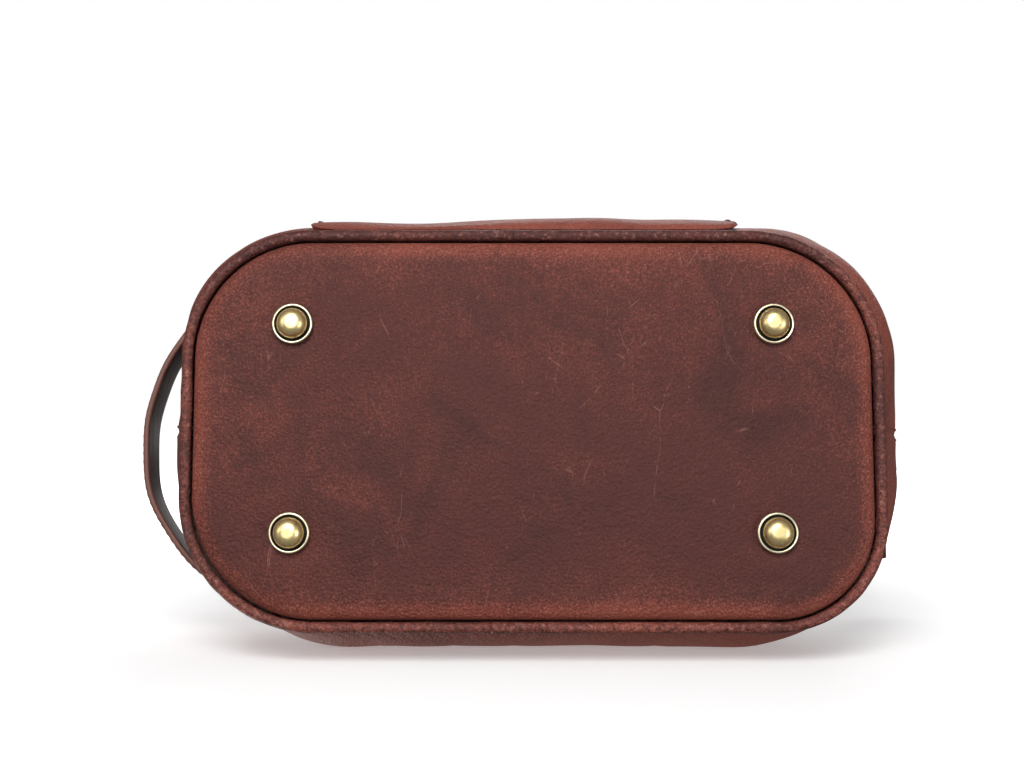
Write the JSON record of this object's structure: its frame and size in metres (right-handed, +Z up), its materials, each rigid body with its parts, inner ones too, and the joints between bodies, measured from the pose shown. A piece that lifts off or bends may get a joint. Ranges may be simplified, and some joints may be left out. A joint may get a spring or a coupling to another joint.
{
  "type": "shaving kit bag",
  "caption": "Leather shaving kit bag with a zipped dome mouth, padded piped base on dome feet, zipped outside pocket and end carrying strap.",
  "frame": {"origin": "middle of the bag's box in plan, on the plane that the feet rest on", "axes": "+X along the bag towards the end with the turned zip tab, away from the handle; -Y towards the outside pocket; +Z up"},
  "size_m": [0.3306, 0.174, 0.154],
  "materials": {
    "base_leather": "pull-up leather, waxed satin, padded, with darker mottling",
    "body_leather": "pull-up leather, waxed satin",
    "piping_leather": "pull-up leather, worn lighter on the crest",
    "dark_leather": "dark brown smooth leather",
    "lining_cloth": "brown woven cotton lining",
    "foam": "closed-cell padding",
    "board": "stiffening board",
    "cotton_cord": "twisted cotton filler cord",
    "foot_brass": "antique brass, bright dome in a darkened cup",
    "screw_steel": "plated steel",
    "zip_brass": "antique brass",
    "zip_tape": "dark brown woven zip tape"
  },
  "bodies": {
    "bag": {"base_panel": "base_leather", "base_foam": "foam", "base_board": "board", "base_lining": "lining_cloth", "piping_left": "piping_leather", "piping_right": "piping_leather", "piping_cord": "cotton_cord", "foot_cups": "foot_brass", "foot_domes": "foot_brass", "foot_screws": "screw_steel", "foot_washers": "screw_steel", "front_body_panel": "body_leather", "back_body_panel": "body_leather", "front_lining": "lining_cloth", "back_lining": "lining_cloth", "inner_pocket": "lining_cloth", "zip_end_tape_left": "zip_tape", "zip_end_tape_right": "zip_tape", "zip_end_teeth": "zip_brass", "zip_stops": "zip_brass", "zip_tab_left": "dark_leather", "zip_tab_right": "dark_leather", "pocket_panel": "body_leather", "pocket_lining": "lining_cloth", "pocket_zip_tape_lower": "zip_tape", "pocket_zip_tape_upper": "zip_tape", "pocket_zip_teeth_lower": "zip_brass", "pocket_zip_teeth_upper": "zip_brass", "pocket_zip_stops": "zip_brass", "handle_end_front": "body_leather", "handle_end_back": "body_leather"},
    "front_mouth": {"front_top_panel": "body_leather", "front_top_lining": "lining_cloth", "zip_tape_front": "zip_tape", "zip_teeth_front": "zip_brass"},
    "back_mouth": {"back_top_panel": "body_leather", "back_top_lining": "lining_cloth", "zip_tape_back": "zip_tape", "zip_teeth_back": "zip_brass"},
    "top_slider": {"top_slider": "zip_brass"},
    "top_pull": {"top_pull_link": "zip_brass", "top_pull_tab": "body_leather"},
    "pocket_slider": {"pocket_slider": "zip_brass"},
    "pocket_pull": {"pocket_pull_link": "zip_brass", "pocket_pull_tab": "body_leather"},
    "handle": {"handle_strap": "body_leather", "handle_lining": "dark_leather"}
  },
  "joints": [
    {"name": "front_mouth_hinge", "type": "hinge", "parent": "bag", "child": "front_mouth", "pos_m": [-0.00531, -0.05454, 0.11225], "axis": [1, 0, 0], "range_deg": [0, 50]},
    {"name": "back_mouth_hinge", "type": "hinge", "parent": "bag", "child": "back_mouth", "pos_m": [-0.00531, 0.06354, 0.11225], "axis": [1, 0, 0], "range_deg": [-50, 0]},
    {"name": "top_zip_slide", "type": "slide", "parent": "bag", "child": "top_slider", "axis": [-1, 0, 0], "range_m": [0, 0.21]},
    {"name": "top_pull_swing", "type": "hinge", "parent": "top_slider", "child": "top_pull", "pos_m": [0.09969, 0.0045, 0.1517], "axis": [0, -1, 0], "range_deg": [0, 160]},
    {"name": "pocket_zip_slide", "type": "slide", "parent": "bag", "child": "pocket_slider", "axis": [-1, 0, 0], "range_m": [0, 0.136]},
    {"name": "pocket_pull_swing", "type": "hinge", "parent": "pocket_slider", "child": "pocket_pull", "pos_m": [0.06069, -0.07905, 0.08664], "axis": [0, -0.3797, -0.9251], "range_deg": [0, 160]},
    {"name": "handle_flex", "type": "hinge", "parent": "bag", "child": "handle", "pos_m": [-0.15371, 0.0045, 0.07], "axis": [0, 1, 0], "range_deg": [-8, 4], "stiffness_Nm_per_rad": 0.05}
  ],
  "couplings": [
    {"joint": "back_mouth_hinge", "follows": "front_mouth_hinge", "ratio": -1}
  ]
}
